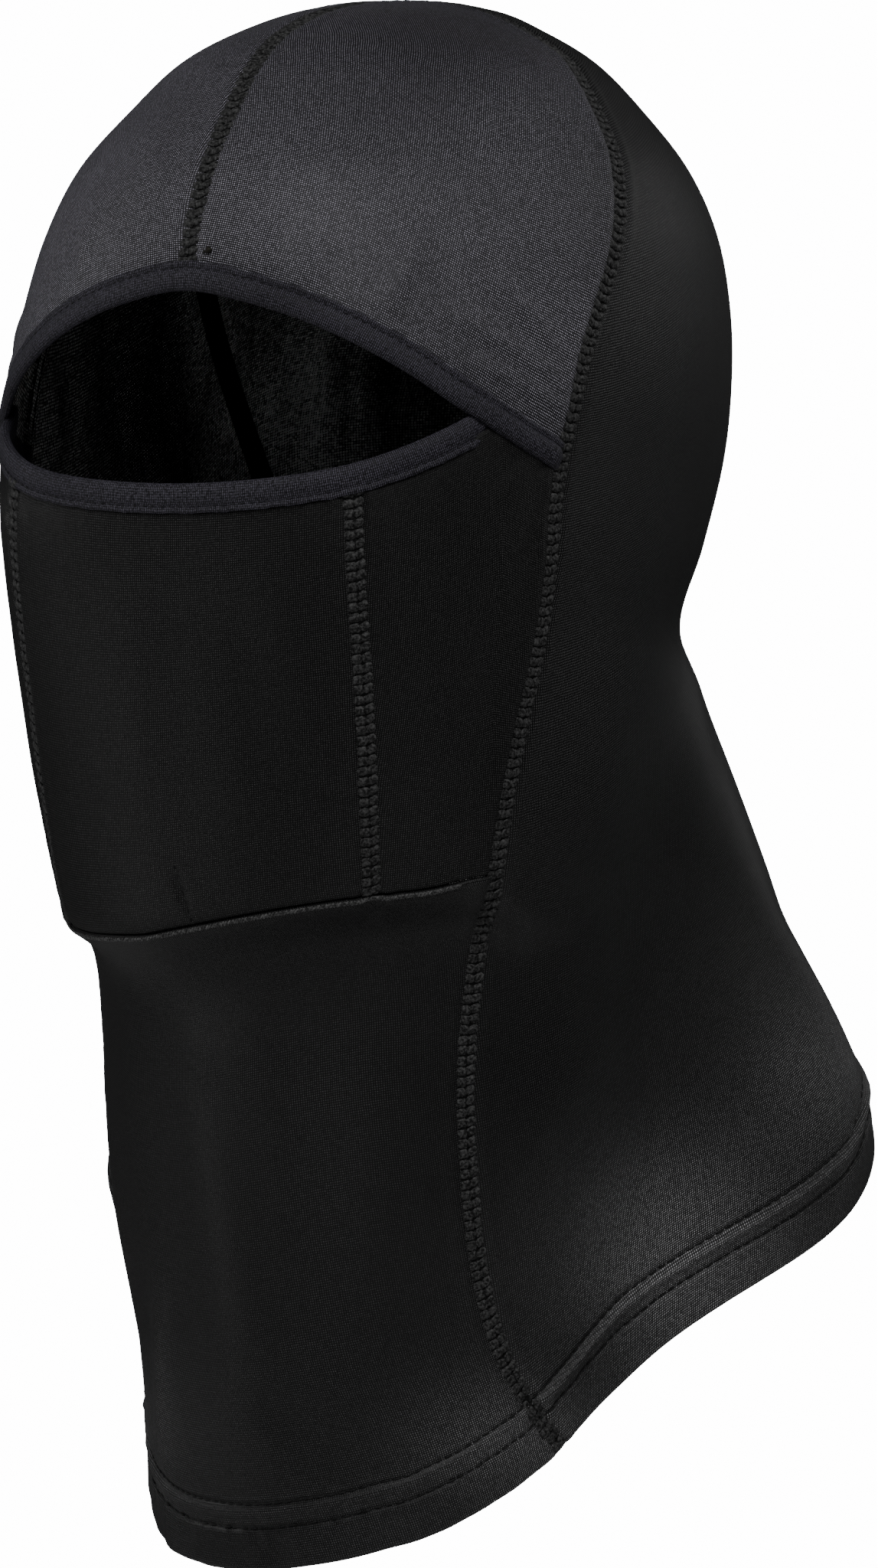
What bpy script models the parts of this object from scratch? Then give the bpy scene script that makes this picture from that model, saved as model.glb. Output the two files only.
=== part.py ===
"""Stretch-knit ski balaclava with a pull-down face mask.

The hood is one smooth skin, cut into the knit panels that it is sewn from. Every panel, flat seam,
edge binding, hem facing and row of stitching is an object of its own. The wearer faces -Y, +X is the
wearer's left and +Z is up. The origin is the top of the crown's height, straight above the head's
middle, and everything hangs below it. Lengths in the tables are millimetres, angles are degrees from
straight ahead, positive towards the wearer's left. A drop is a distance below the crown.
"""
import math
from bisect import bisect_left

import bmesh
import bpy
from mathutils import Vector

MM = 0.001

# Cloth and seams
KNIT = 1.0                # thickness of one layer of the hood's knit
GAP = 0.3                 # clearance between pieces that touch
SEAM_WIDTH = 5.4          # flatlock seam, edge to edge
SEAM_GAP = 0.6            # room beside a seam, because its curves and the panels' have unlike steps
SEAM_DEPTH = 1.6
BINDING_WIDTH = 7.0       # folded binding on the eye opening
BINDING_PROUD = 0.5       # how far a binding stands out from the knit
BINDING_DEPTH = 1.7
STITCH_WIDTH = 0.9
STITCH_HEIGHT = 0.45
CHIN_TURNING = 4.0        # width of the turned edge behind the chin seam
CHIN_ROOM = 0.8           # each side of the chin seam's line, where the skin folds sharply
HEM_FACING = 17.0         # depth of the turned-up hem
HEM_ROWS = (9.0, 14.6)    # the two rows of hem stitching, up from the edge
HEM_LIFT = 0.7            # clearance under the hem's stitching, which crosses the panels' seams
TAPE_WIDTH = 7.0
CROSSING_ROOM = 1.6       # between the seam over the crown and the two seams that end at it

# Sections of the hood from the crown down: drop, reach to the front, to each side and to the back of
# the section's centre, roundness of its front and back halves (2 is an ellipse, more is squarer),
# flare over the shoulders, and how far back the centre lies.
SECTIONS = [
    (0, 0, 0, 0, 1.8, 1.9, 0, 13),
    (2, 33, 18, 29, 1.8, 1.9, 0, 11),
    (7.5, 51, 32.5, 48, 1.8, 1.9, 0, 6),
    (15, 62, 46, 62.5, 1.85, 1.9, 0, 3),
    (26, 72, 57, 74, 1.9, 1.95, 0, 1.5),
    (40, 82, 68, 85.5, 2.0, 2.0, 0, 0),
    (56, 90, 74.5, 94, 2.1, 2.0, 0, 0),
    (74, 94.5, 77, 98.5, 2.3, 2.0, 0, 0),
    (92, 96, 77.5, 98, 2.6, 2.0, 0, 0),
    (110, 97, 76.5, 93.5, 2.85, 2.0, 0, 0),
    (130, 97.5, 75, 79.5, 2.95, 2.0, 0, 0),
    (149, 96, 72.5, 62.5, 2.95, 2.05, 0, 0),
    (165, 94.5, 71.5, 70, 2.8, 2.2, 3, 0),
    (185, 92, 70, 71.5, 2.65, 2.2, 11.5, 0),
    (205, 88.5, 67.5, 73, 2.5, 2.2, 20.5, 0),
    (217, 85, 67, 73, 2.3, 2.2, 25, 0),
    (227, 74, 66.5, 74, 2.0, 2.2, 30, 0),
    (245, 68, 66.5, 76, 1.95, 2.2, 38.5, 0),
    (262, 66, 66, 78, 1.95, 2.2, 45, 0),
    (285, 62.5, 63.5, 80, 1.95, 2.2, 47.5, 0),
    (320, 58, 58.5, 80, 1.9, 2.2, 43, 0),
    (375, 55, 55.5, 80, 1.85, 2.2, 38, 0),
]
FLARE_ANGLE = 120         # where the flare over each shoulder is highest
FLARE_FRONT = 20          # how fast it fades forwards on the left
FLARE_FRONT_RIGHT = 17.5  # and on the right
FLARE_BACK = 40           # and towards the middle of the back

# Seam lines, as angle against drop
SIDE_SEAM = [(0, 92), (5, 103), (12, 102), (20, 95), (40, 85), (61, 76), (83, 66.5), (99, 62.5),
             (114, 59.5), (148, 57.5), (186, 52), (217, 50), (256, 47.5), (283, 49.5), (300, 52.5),
             (317, 58), (329, 65), (342, 76.5)]
RIGHT_SIDE_SEAM = [(0, 92), (5, 103), (12, 102), (20, 95), (40, 85), (61, 76), (83, 66.5), (99, 62.5),
                   (114, 59.5), (148, 60), (186, 61), (217, 62.5), (256, 66), (283, 68.5),
                   (300, 70), (317, 72), (329, 74), (342, 76.5)]
CHEEK_SEAM = [(112, 26), (136, 26.5), (166, 27.5), (188, 28), (216, 28.5)]
RIGHT_CHEEK_SEAM = [(112, 31), (136, 31.5), (166, 32.5), (188, 34), (216, 36)]
INNER_TAPE = [(50, -113), (71, -118), (114, -129), (140, -134)]

# Edge lines, as drop against angle
BROW_LINE = [(0, 66.5), (12, 70), (23, 76.3), (33.5, 85.3), (43, 95.5), (52, 103.8), (62, 111)]
MASK_LINE = [(0, 119), (13, 118), (24, 115.3), (32.5, 111), (43.5, 103), (52, 96)]
CHIN_LINE = [(-60, 208), (-45, 214), (-31, 220.5), (-13, 222), (-5, 220.5), (15, 215.5), (29, 212.5),
             (38, 211), (48, 208), (60, 207)]
HEM_LINE = [(-180, 245), (-160, 246), (-140, 251), (-128, 262), (-121, 276), (-115, 289), (-106, 305),
            (-90, 330), (-76, 345.5), (-57, 359), (-40, 366), (-30.5, 368.5), (-21, 370), (-10, 371),
            (0, 371), (10, 370), (21, 368.3), (30.5, 366), (40, 363.5), (57, 356), (76, 344),
            (90, 330), (106, 305), (115, 289), (121, 276), (128, 262), (140, 251), (160, 246),
            (180, 245)]
CHIN_LEVEL = 216          # level of the chin line where it is straight
CHIN_REACH = 22           # how far above and below it the skin follows the line

MASK_BINDING_END = 39.5   # the mask's binding stops short of the brow's by this angle
BROW_BINDING_END = 57.5
STEP = 0.5                # finite step for tangents, in millimetres or degrees

KNIT_BLACK = (0.022, 0.022, 0.025, 1)
KNIT_GREY = (0.040, 0.041, 0.046, 1)
BINDING_NAVY = (0.017, 0.018, 0.028, 1)
THREAD_GREY = (0.050, 0.050, 0.052, 1)
TAPE_BLACK = (0.012, 0.012, 0.014, 1)


def smooth(points, x):
    """A smooth curve through (x, y) points, straight past both ends."""
    last = len(points) - 1
    i = min(max(bisect_left([p[0] for p in points], x) - 1, 0), last - 1)

    def slope(k):
        a, b = points[max(k - 1, 0)], points[min(k + 1, last)]
        return (b[1] - a[1]) / (b[0] - a[0])

    (x0, y0), (x1, y1) = points[i], points[i + 1]
    if x <= x0 and i == 0:
        return y0 + slope(0) * (x - x0)
    if x >= x1 and i == last - 1:
        return y1 + slope(last) * (x - x1)
    w = x1 - x0
    t = (x - x0) / w
    ease = t * t * (3 - 2 * t)
    return (y0 + (y1 - y0) * ease + slope(i) * w * t * (1 - t) ** 2 - slope(i + 1) * w * t * t * (1 - t))


def mirrored(points):
    return [(-a, d) for a, d in reversed(points) if a > 0] + points


def section_value(u, column):
    """One column of SECTIONS at a fractional row; the rows carry on past the crown as a mirror."""
    last = len(SECTIONS) - 1
    i = min(int(u), last - 1)
    t = u - i

    def row(k):
        if k >= 0:
            return SECTIONS[min(k, last)][column]
        return -SECTIONS[-k][column] if column in (1, 2, 3) else SECTIONS[-k][column]

    a, b, c, d = (row(i + k) for k in (-1, 0, 1, 2))
    return 0.5 * (2 * b + (c - a) * t + (2 * a - 5 * b + 4 * c - d) * t ** 2
                  + (3 * b - 3 * c + d - a) * t ** 3)


ROWS = [k / 40 for k in range(40 * (len(SECTIONS) - 1) + 1)]
DROPS = [section_value(u, 0) for u in ROWS]


def row_at(drop):
    i = min(max(bisect_left(DROPS, drop), 1), len(DROPS) - 1)
    t = (drop - DROPS[i - 1]) / (DROPS[i] - DROPS[i - 1])
    return ROWS[i - 1] + (ROWS[i] - ROWS[i - 1]) * min(max(t, 0), 1)


def skin(angle, drop):
    """The hood's outer face."""
    tilt = CHIN_LEVEL - smooth(CHIN_LINE, angle) if abs(angle) < 60 else 0
    fade = max(0, 1 - (angle / 60) ** 4) if abs(angle) < 60 else 0
    level = drop + tilt * fade * math.exp(-((drop - CHIN_LEVEL) / CHIN_REACH) ** 2)
    u = row_at(level)
    front, side, back, front_power, back_power, flare, centre = (section_value(u, k) for k in range(1, 8))
    a = math.radians(angle)
    reach, power = (front, front_power) if math.cos(a) >= 0 else (back, back_power)
    if side < 1e-6:
        return Vector((0, centre, -drop))
    radius = ((abs(math.sin(a)) / side) ** power + (abs(math.cos(a)) / reach) ** power) ** (-1 / power)
    round_angle = abs((angle + 180) % 360 - 180)
    forwards = FLARE_FRONT if math.sin(a) > 0 else FLARE_FRONT_RIGHT
    spread = forwards if round_angle < FLARE_ANGLE else FLARE_BACK
    radius += flare * math.exp(-((round_angle - FLARE_ANGLE) / spread) ** 2)
    return Vector((radius * math.sin(a), centre - radius * math.cos(a), -drop))


def outward(angle, drop):
    """Unit normal of the skin."""
    if drop < 0.1:
        return Vector((0, 0, 1))
    across = skin(angle + STEP, drop) - skin(angle - STEP, drop)
    d = min(STEP, drop / 2)
    down = skin(angle, drop + d) - skin(angle, drop - d)
    return down.cross(across).normalized()


def beside(line, distance):
    """The line angle(drop), moved sideways on the skin by a distance in millimetres."""
    def moved(drop):
        angle = line(drop)
        d = min(STEP, drop / 2)
        along = skin(line(drop + d), drop + d) - skin(line(drop - d), drop - d)
        turned = angle
        for _ in range(3):
            across = (skin(turned + STEP, drop) - skin(turned - STEP, drop)) / math.radians(2 * STEP)
            turn = distance * along.length / along.cross(across).length
            turned = angle + math.degrees(math.asin(max(-1, min(1, turn))))
        return turned
    return moved


def below(line, distance):
    """The line drop(angle), moved down the skin by a distance in millimetres."""
    def moved(angle):
        drop = line(angle)
        along = skin(angle + STEP, line(angle + STEP)) - skin(angle - STEP, line(angle - STEP))
        down = (skin(angle, drop + STEP) - skin(angle, drop - STEP)) / (2 * STEP)
        return drop + distance * along.length / along.cross(down).length
    return moved


def side_seam(drop):
    return smooth(SIDE_SEAM, drop)


def right_side_seam(drop):
    return -smooth(RIGHT_SIDE_SEAM, drop)


def side_seam_of(sign):
    """The side seam of the wearer's left, for sign +1, or of the right, for -1."""
    return side_seam if sign > 0 else right_side_seam


def cheek_seam(drop):
    return smooth(CHEEK_SEAM, drop)


def right_cheek_seam(drop):
    return -smooth(RIGHT_CHEEK_SEAM, drop)


def cheek_seam_of(sign):
    return cheek_seam if sign > 0 else right_cheek_seam


def middle(drop):
    return 0.0


def middle_back(drop):
    return 180.0


def brow(angle):
    return smooth(mirrored(BROW_LINE), angle)


def mask_edge(angle):
    return smooth(mirrored(MASK_LINE), angle)


def chin(angle):
    return smooth(CHIN_LINE, angle)


def hem(angle):
    return smooth(HEM_LINE, (angle + 180) % 360 - 180)


def clear_collection():
    for thing in list(bpy.data.objects):
        bpy.data.objects.remove(thing, do_unlink=True)
    group = bpy.data.collections.new("balaclava")
    bpy.context.scene.collection.children.link(group)
    return group


COLLECTION = clear_collection()


def finish_piece(name, bm, colour, roughness):
    """Turn the built mesh into a named object with its own material."""
    bmesh.ops.remove_doubles(bm, verts=bm.verts, dist=0.00001)
    bmesh.ops.recalc_face_normals(bm, faces=bm.faces)
    mesh = bpy.data.meshes.new(name)
    bm.to_mesh(mesh)
    bm.free()
    mesh.shade_smooth()
    mesh.set_sharp_from_angle(angle=math.radians(40))
    material = bpy.data.materials.new(name)
    material.use_nodes = True
    shader = material.node_tree.nodes["Principled BSDF"]
    shader.inputs["Base Color"].default_value = colour
    shader.inputs["Roughness"].default_value = roughness
    shader.inputs["Metallic"].default_value = 0.0
    mesh.materials.append(material)
    piece = bpy.data.objects.new(name, mesh)
    COLLECTION.objects.link(piece)
    return piece


def arc_table():
    """Length down the side of the hood for each drop, so that rows of a panel come out even."""
    lengths = [0.0]
    for a, b in zip(DROPS, DROPS[1:]):
        lengths.append(lengths[-1] + (skin(90, b) - skin(90, a)).length)
    return lengths


LENGTHS = arc_table()


def length_at(drop):
    i = min(max(bisect_left(DROPS, drop), 1), len(DROPS) - 1)
    t = (drop - DROPS[i - 1]) / (DROPS[i] - DROPS[i - 1])
    return LENGTHS[i - 1] + t * (LENGTHS[i] - LENGTHS[i - 1])


def drop_at(length):
    i = min(max(bisect_left(LENGTHS, length), 1), len(LENGTHS) - 1)
    t = (length - LENGTHS[i - 1]) / (LENGTHS[i] - LENGTHS[i - 1])
    return DROPS[i - 1] + t * (DROPS[i] - DROPS[i - 1])


def place(left, right, top, bottom, across, down):
    """Angle and drop of a point in a patch between two seams and two edges, by fractions."""
    drop = 0.5 * (top(0.5 * (left(100) + right(100))) + bottom(0.5 * (left(200) + right(200))))
    for _ in range(40):
        first, last = left(drop), right(drop)
        angle = first + (last - first) * across
        start, end = length_at(top(angle)), length_at(bottom(angle))
        change = drop_at(start + (end - start) * down) - drop
        drop += 0.7 * change
        if abs(change) < 0.002:
            break
    return angle, drop


def panel(name, edges, columns, rows, colour, inset=0.0, thickness=KNIT):
    """A cloth panel on the skin between the four edges: left, right, top and bottom."""
    bm = bmesh.new()
    grid = []
    for i in range(rows + 1):
        line = []
        for j in range(columns + 1):
            angle, drop = place(*edges, j / columns, i / rows)
            line.append(bm.verts.new((skin(angle, drop) - outward(angle, drop) * inset) * MM))
        grid.append(line)
    for i in range(rows):
        for j in range(columns):
            bm.faces.new((grid[i][j], grid[i + 1][j], grid[i + 1][j + 1], grid[i][j + 1]))
    piece = finish_piece(name, bm, colour, 0.85)
    solid = piece.modifiers.new("thickness", "SOLIDIFY")
    solid.thickness = thickness * MM
    solid.offset = -1.0
    return piece


def ribbon(name, route, width, proud, depth, colour, closed=False):
    """A flat strip along a route of (angle, drop) places, from proud to depth below the skin."""
    centres = [skin(a, d) for a, d in route]
    normals = [outward(a, d) for a, d in route]
    count = len(route)
    bm = bmesh.new()
    rings = []
    for i in range(count):
        before = centres[(i - 1) % count if closed else max(i - 1, 0)]
        after = centres[(i + 1) % count if closed else min(i + 1, count - 1)]
        side = normals[i].cross(after - before).normalized() * (width / 2)
        up, low = normals[i] * proud, normals[i] * depth
        corners = (side + up, up - side, -side - low, side - low)
        rings.append([bm.verts.new((centres[i] + c) * MM) for c in corners])
    pairs = list(zip(rings, rings[1:])) + ([(rings[-1], rings[0])] if closed else [])
    for a, b in pairs:
        for k in range(4):
            bm.faces.new((a[k], a[(k + 1) % 4], b[(k + 1) % 4], b[k]))
    if not closed:
        bm.faces.new(rings[0])
        bm.faces.new(rings[-1])
    return finish_piece(name, bm, colour, 0.7)


def down_route(line, start, end, spacing):
    """Places along angle(drop), evenly spaced down the hood."""
    a, b = length_at(start), length_at(end)
    count = max(2, round((b - a) / spacing))
    drops = [drop_at(a + (b - a) * k / count) for k in range(count + 1)]
    return [(line(d), d) for d in drops]


def round_route(line, start, end, count):
    """Places along drop(angle), evenly spaced round the hood."""
    angles = [start + (end - start) * k / count for k in range(count + 1)]
    return [(a, line(a)) for a in angles]


def top_of(left, right):
    """Drop at which two seam edges that part below the crown first make room for a panel."""
    drop = 0.15
    while right(drop) - left(drop) < 0.5:
        drop += 0.01
    return drop


def build_hood(beside_seam, above_brow):
    """The four panels above and behind the face."""
    for side, sign in (("left", 1), ("right", -1)):
        seam = side_seam_of(sign)
        front_edge = beside(middle, sign * beside_seam)
        front_seam_edge = beside(seam, -sign * beside_seam)
        back_seam_edge = beside(seam, sign * beside_seam)
        back_edge = beside(lambda drop: sign * 180.0, -sign * beside_seam)
        crown = [front_edge, front_seam_edge] if sign > 0 else [front_seam_edge, front_edge]
        back = [back_seam_edge, back_edge] if sign > 0 else [back_edge, back_seam_edge]
        for name, pair, bottom, columns, rows, colour in (
                (f"crown_front_{side}", crown, above_brow, 9, 14, KNIT_GREY),
                (f"back_{side}", back, hem, 18, 34, KNIT_BLACK)):
            start = top_of(*pair)
            panel(name, (*pair, lambda angle: start, bottom), columns, rows, colour)


def build_mask(beside_seam):
    """The face mask: a centre panel and two cheeks, from the eye opening to the chin."""
    half_binding = BINDING_WIDTH / 2 + GAP
    under_mask_binding = below(mask_edge, half_binding)
    under_brow_binding = below(brow, half_binding)

    def cheek_top(angle):
        return max(under_mask_binding(angle), under_brow_binding(angle))

    above_chin = below(chin, -CHIN_ROOM)
    centre = (beside(right_cheek_seam, beside_seam), beside(cheek_seam, -beside_seam))
    panel("mask_centre", (*centre, under_mask_binding, above_chin), 10, 14, KNIT_BLACK)
    for side, sign in (("left", 1), ("right", -1)):
        inner = beside(cheek_seam_of(sign), sign * beside_seam)
        outer = beside(side_seam_of(sign), -sign * beside_seam)
        pair = (inner, outer) if sign > 0 else (outer, inner)
        panel(f"mask_cheek_{side}", (*pair, cheek_top, above_chin), 6, 13, KNIT_BLACK)


def build_neck(beside_seam):
    pair = (beside(right_side_seam, beside_seam), beside(side_seam, -beside_seam))
    panel("neck_front", (*pair, below(chin, CHIN_ROOM), hem), 14, 18, KNIT_BLACK)


def clear_of_crossing(angle):
    """Drop at which a centre seam is clear of the seam that crosses the crown."""
    drop = 0.01
    while (skin(angle, drop) - skin(0, 0)).length < SEAM_WIDTH / 2 + CROSSING_ROOM:
        drop += 0.002
    return drop


def build_seams():
    """Flatlock seams lie in the joint between two panels, flush with both."""
    for side, sign in (("left", 1), ("right", -1)):
        line = side_seam_of(sign)
        hem_drop = SIDE_SEAM[-1][0]
        route = [(line(0.012), 0.012)] + down_route(line, 0.6, hem_drop, 6.5)
        ribbon(f"side_seam_{side}", route, SEAM_WIDTH, 0, SEAM_DEPTH, THREAD_GREY)
        cheek = cheek_seam_of(sign)
        top = below(mask_edge, BINDING_WIDTH / 2 + 1)(cheek(118))
        bottom = below(chin, -1.5)(cheek(212))
        ribbon(f"cheek_seam_{side}", down_route(cheek, top, bottom, 7), SEAM_WIDTH, 0, SEAM_DEPTH,
               THREAD_GREY)
    brow_top = below(brow, -(BINDING_WIDTH / 2 + 2 * GAP))(0)
    ribbon("centre_front_seam", down_route(middle, clear_of_crossing(0), brow_top, 6), SEAM_WIDTH, 0,
           SEAM_DEPTH, THREAD_GREY)
    ribbon("centre_back_seam", down_route(middle_back, clear_of_crossing(180), HEM_LINE[-1][1], 7),
           SEAM_WIDTH, 0, SEAM_DEPTH, THREAD_GREY)


def build_bindings():
    """Folded bindings on the eye opening, each with its row of stitching."""
    stitch_low = BINDING_PROUD + GAP
    stitch_top = stitch_low + STITCH_HEIGHT
    offset = BINDING_WIDTH / 2 - 1.6
    ribbon("brow_binding", round_route(brow, -BROW_BINDING_END, BROW_BINDING_END, 46), BINDING_WIDTH,
           BINDING_PROUD, BINDING_DEPTH, BINDING_NAVY)
    ribbon("brow_binding_stitching",
           round_route(below(brow, -offset), 2 - BROW_BINDING_END, BROW_BINDING_END - 2, 44),
           STITCH_WIDTH, stitch_top, -stitch_low, THREAD_GREY)
    ribbon("mask_binding", round_route(mask_edge, -MASK_BINDING_END, MASK_BINDING_END, 36),
           BINDING_WIDTH, BINDING_PROUD, BINDING_DEPTH, BINDING_NAVY)
    ribbon("mask_binding_stitching",
           round_route(below(mask_edge, offset), 2 - MASK_BINDING_END, MASK_BINDING_END - 2, 34),
           STITCH_WIDTH, stitch_top, -stitch_low, THREAD_GREY)


def build_hem(beside_seam):
    """The turned-up hem behind each panel, and two rows of stitching that go all the way round."""
    inset = KNIT + 1.0
    facing_top = below(hem, -HEM_FACING)
    facing_bottom = below(hem, -1.0)
    more = beside_seam + 1.5
    pair = (beside(right_side_seam, more), beside(side_seam, -more))
    panel("hem_facing_front", (*pair, facing_top, facing_bottom), 14, 2, KNIT_BLACK, inset, KNIT * 0.8)
    for side, sign in (("left", 1), ("right", -1)):
        seam_edge = beside(side_seam_of(sign), sign * more)
        back_edge = beside(lambda drop: sign * 180.0, -sign * more)
        pair = (seam_edge, back_edge) if sign > 0 else (back_edge, seam_edge)
        panel(f"hem_facing_{side}", (*pair, facing_top, facing_bottom), 18, 2, KNIT_BLACK, inset,
              KNIT * 0.8)
    for name, up in zip(("hem_stitching_lower", "hem_stitching_upper"), HEM_ROWS):
        route = round_route(below(hem, -up), -180, 180, 96)[:-1]
        ribbon(name, route, STITCH_WIDTH, HEM_LIFT + STITCH_HEIGHT, -HEM_LIFT, THREAD_GREY, closed=True)


def build_small_pieces():
    inset = KNIT + 0.7
    ribbon("chin_turning", round_route(chin, -44, 42, 30), CHIN_TURNING, -KNIT - 1.0, KNIT + 2.0,
           KNIT_BLACK)
    ribbon("chin_dart", down_route(lambda d: -3.4 + (d - 206) * 0.15, 206, 217, 3.5), 1.0,
           GAP + STITCH_HEIGHT, -GAP, THREAD_GREY)
    ribbon("inner_tape", down_route(lambda d: smooth(INNER_TAPE, d), 50, 140, 6), TAPE_WIDTH, -inset,
           inset + 0.8, TAPE_BLACK)
    bm = bmesh.new()
    bmesh.ops.create_uvsphere(bm, u_segments=10, v_segments=6, radius=1.1 * MM)
    knot = finish_piece("seam_thread_knot", bm, THREAD_GREY, 0.8)
    knot.location = (skin(3.4, 60.8) + outward(3.4, 60.8) * (1.1 + GAP)) * MM


def build_all():
    beside_seam = SEAM_WIDTH / 2 + SEAM_GAP
    build_hood(beside_seam, below(brow, -(BINDING_WIDTH / 2 + GAP)))
    build_mask(beside_seam)
    build_neck(beside_seam)
    build_seams()
    build_bindings()
    build_hem(beside_seam)
    build_small_pieces()


build_all()
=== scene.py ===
"""Looks of a stretch-knit ski balaclava with a pull-down mask.

The knit panels, flatlock seams, bindings, hem and stitching are built as real surfaces on the same
skin as the model's plain solids, so every piece lies where its solid does. Tables are in
millimetres. An angle is in degrees from straight ahead, positive towards the wearer's left, and a
drop is a distance below the crown.
"""
import math

import bmesh
import bpy
import numpy as np
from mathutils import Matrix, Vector


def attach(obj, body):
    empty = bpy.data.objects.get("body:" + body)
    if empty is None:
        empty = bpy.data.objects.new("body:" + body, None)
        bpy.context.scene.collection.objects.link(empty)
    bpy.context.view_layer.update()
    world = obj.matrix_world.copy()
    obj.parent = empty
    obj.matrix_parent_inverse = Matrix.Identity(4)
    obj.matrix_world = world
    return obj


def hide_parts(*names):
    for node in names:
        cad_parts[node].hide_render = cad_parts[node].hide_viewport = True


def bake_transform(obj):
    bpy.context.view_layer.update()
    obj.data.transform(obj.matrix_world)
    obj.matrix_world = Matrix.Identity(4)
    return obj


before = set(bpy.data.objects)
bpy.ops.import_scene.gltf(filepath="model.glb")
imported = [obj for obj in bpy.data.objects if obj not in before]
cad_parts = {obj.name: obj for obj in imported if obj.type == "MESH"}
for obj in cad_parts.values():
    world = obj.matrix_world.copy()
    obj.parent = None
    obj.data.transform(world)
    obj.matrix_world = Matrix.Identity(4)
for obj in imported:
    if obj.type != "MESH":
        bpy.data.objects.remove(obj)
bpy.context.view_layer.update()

RANDOM = np.random.default_rng(7)
MM = 0.001

# ---- the hood's skin

# drop, reach to the front, to each side and to the back of the section's centre, roundness of its
# front and back halves, flare over the shoulders, and how far back the centre lies
SECTIONS = np.array([
    (0, 0, 0, 0, 1.8, 1.9, 0, 13),
    (2, 33, 18, 29, 1.8, 1.9, 0, 11),
    (7.5, 51, 32.5, 48, 1.8, 1.9, 0, 6),
    (15, 62, 46, 62.5, 1.85, 1.9, 0, 3),
    (26, 72, 57, 74, 1.9, 1.95, 0, 1.5),
    (40, 82, 68, 85.5, 2.0, 2.0, 0, 0),
    (56, 90, 74.5, 94, 2.1, 2.0, 0, 0),
    (74, 94.5, 77, 98.5, 2.3, 2.0, 0, 0),
    (92, 96, 77.5, 98, 2.6, 2.0, 0, 0),
    (110, 97, 76.5, 93.5, 2.85, 2.0, 0, 0),
    (130, 97.5, 75, 79.5, 2.95, 2.0, 0, 0),
    (149, 96, 72.5, 62.5, 2.95, 2.05, 0, 0),
    (165, 94.5, 71.5, 70, 2.8, 2.2, 3, 0),
    (185, 92, 70, 71.5, 2.65, 2.2, 11.5, 0),
    (205, 88.5, 67.5, 73, 2.5, 2.2, 20.5, 0),
    (217, 85, 67, 73, 2.3, 2.2, 25, 0),
    (227, 74, 66.5, 74, 2.0, 2.2, 30, 0),
    (245, 68, 66.5, 76, 1.95, 2.2, 38.5, 0),
    (262, 66, 66, 78, 1.95, 2.2, 45, 0),
    (285, 62.5, 63.5, 80, 1.95, 2.2, 47.5, 0),
    (320, 58, 58.5, 80, 1.9, 2.2, 43, 0),
    (375, 55, 55.5, 80, 1.85, 2.2, 38, 0),
], float)
FLARE_ANGLE, FLARE_FRONT, FLARE_FRONT_RIGHT, FLARE_BACK = 120, 20, 17.5, 40

# seam lines, as angle against drop
UPPER_SIDE_SEAM = [(0, 92), (5, 103), (12, 102), (20, 95), (40, 85), (61, 76), (83, 66.5), (99, 62.5),
                   (114, 59.5)]
SIDE_SEAM = UPPER_SIDE_SEAM + [(148, 57.5), (186, 52), (217, 50), (256, 47.5), (283, 49.5), (300, 52.5),
                               (317, 58), (329, 65), (342, 76.5)]
RIGHT_SIDE_SEAM = UPPER_SIDE_SEAM + [(148, 60), (186, 61), (217, 62.5), (256, 66), (283, 68.5), (300, 70),
                                     (317, 72), (329, 74), (342, 76.5)]
CHEEK_SEAM = [(112, 26), (136, 26.5), (166, 27.5), (188, 28), (216, 28.5)]
RIGHT_CHEEK_SEAM = [(112, 31), (136, 31.5), (166, 32.5), (188, 34), (216, 36)]
# route of a dark strip inside the back, a little right of the middle
INSIDE_STRIP_LINE = [(50, -113), (71, -118), (114, -129), (140, -134)]

# edge lines, as drop against angle
BROW_LINE = [(0, 66.5), (12, 70), (23, 76.3), (33.5, 85.3), (43, 95.5), (52, 103.8), (62, 111)]
MASK_LINE = [(0, 119), (13, 118), (24, 115.3), (32.5, 111), (43.5, 103), (52, 96)]
CHIN_LINE = [(-60, 208), (-45, 214), (-31, 220.5), (-13, 222), (-5, 220.5), (15, 215.5), (29, 212.5),
             (38, 211), (48, 208), (60, 207)]
HEM_BACK = [(90, 330), (106, 305), (115, 289), (121, 276), (128, 262), (140, 251), (160, 246), (180, 245)]
HEM_LINE = [(-a, d) for a, d in reversed(HEM_BACK)] + [
    (-76, 345.5), (-57, 359), (-40, 366), (-30.5, 368.5), (-21, 370), (-10, 371), (0, 371), (10, 370),
    (21, 368.3), (30.5, 366), (40, 363.5), (57, 356), (76, 344)] + HEM_BACK
CHIN_LEVEL, CHIN_REACH = 216, 22
CHIN_ANGLE = 60           # to each side, over which the sections tilt to follow the chin line

HEM_ROWS = (9.0, 14.6)
HEM_WELT = 12.6           # the ridge just under the upper row
HEM_FACING = 17.0         # how far the turned layer reaches up inside
MM_PER_DEGREE = 1.35      # round the hem, roughly
KNIT = 0.8                # thickness of the cloth
FOLD_RADIUS = 1.15        # of the turned hem
SEAM_END = 340.5          # drop at which the side seams' relief ends, at the hem


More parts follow.
